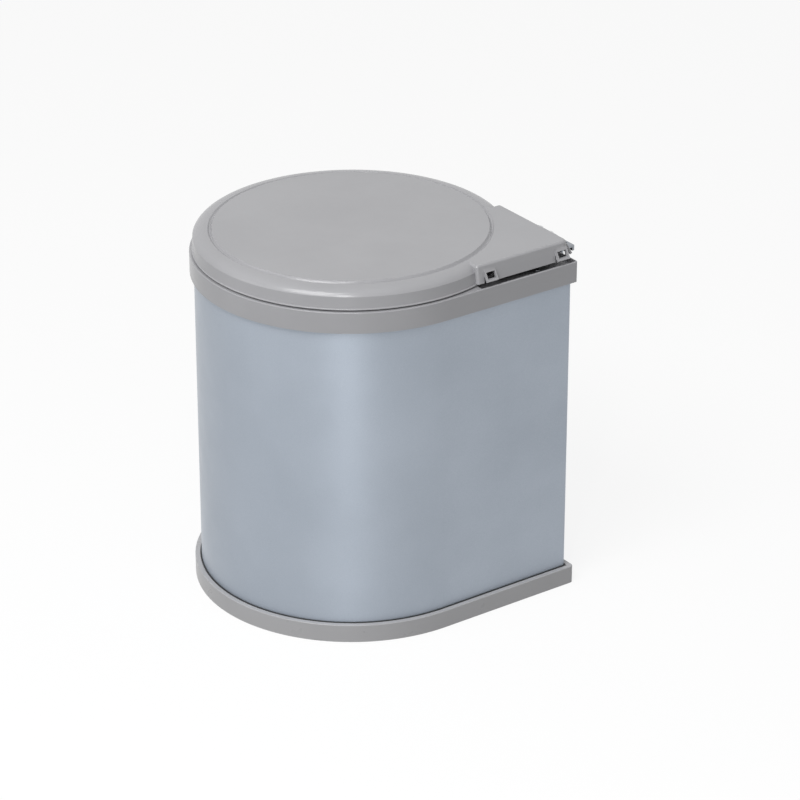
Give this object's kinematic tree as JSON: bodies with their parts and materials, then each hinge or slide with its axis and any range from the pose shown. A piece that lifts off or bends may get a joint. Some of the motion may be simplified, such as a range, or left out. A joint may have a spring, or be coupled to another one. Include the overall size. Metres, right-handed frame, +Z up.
{
  "type": "built-in cabinet bin",
  "caption": "Round swing-out cabinet bin with one square corner: steel shell, moulded rim, tray and lid, lift-out bucket, and a corner pivot on a wall bracket that tips the lid up.",
  "frame": {"origin": "on the axis of the round body, in the plane of the tray's underside", "axes": "+Z up; -Y towards the cabinet door, which the bin swings out through; +X towards the cabinet side wall that carries the bracket"},
  "size_m": [0.2834, 0.2688, 0.3164],
  "materials": {
    "painted_shell": "satin silver-grey paint",
    "grey_moulding": "fine satin moulding",
    "bucket_moulding": "smooth moulding",
    "sleeve_moulding": "smooth moulding",
    "grip_moulding": "smooth moulding",
    "white_bearing": "smooth bearing plastic",
    "zinc_steel": "zinc-plated sheet",
    "bright_steel": "bright zinc plate"
  },
  "bodies": {
    "wall_bracket": {"bracket_plate": "zinc_steel", "pivot_post": "bright_steel", "post_washer": "bright_steel", "post_nut": "bright_steel", "lid_hinge_rail": "zinc_steel", "rail_rivets": "bright_steel"},
    "bin_body": {"outer_shell": "painted_shell", "top_rim": "grey_moulding", "base_tray": "grey_moulding", "upper_bush": "white_bearing", "lower_bush": "white_bearing", "pivot_sleeve": "sleeve_moulding", "lid_lift_cam": "white_bearing", "cam_screws": "bright_steel", "base_screws": "bright_steel"},
    "inner_bucket": {"waste_bucket": "bucket_moulding"},
    "bucket_bail": {"bail_wire": "bright_steel", "bail_grip": "grip_moulding"},
    "lid": {"lid_cover": "grey_moulding", "lift_follower": "white_bearing", "follower_screws": "bright_steel"}
  },
  "joints": [
    {"name": "bin_swing", "type": "hinge", "parent": "wall_bracket", "child": "bin_body", "pos_m": [0.1065, -0.1065, 0.15], "axis": [0, 0, 1], "range_deg": [0, 90]},
    {"name": "lid_tip", "type": "hinge", "parent": "wall_bracket", "child": "lid", "pos_m": [0.129, -0.083, 0.3047], "axis": [0, 1, 0], "range_deg": [0, 15]},
    {"name": "bucket_lift", "type": "slide", "parent": "bin_body", "child": "inner_bucket", "axis": [0, 0, 1], "range_m": [0, 0.01]},
    {"name": "bail_turn", "type": "hinge", "parent": "inner_bucket", "child": "bucket_bail", "pos_m": [0, 0, 0.2826], "axis": [1, 0, 0], "range_deg": [0, 6]}
  ],
  "couplings": [
    {"joint": "lid_tip", "follows": "bin_swing", "ratio": 0.16666}
  ]
}
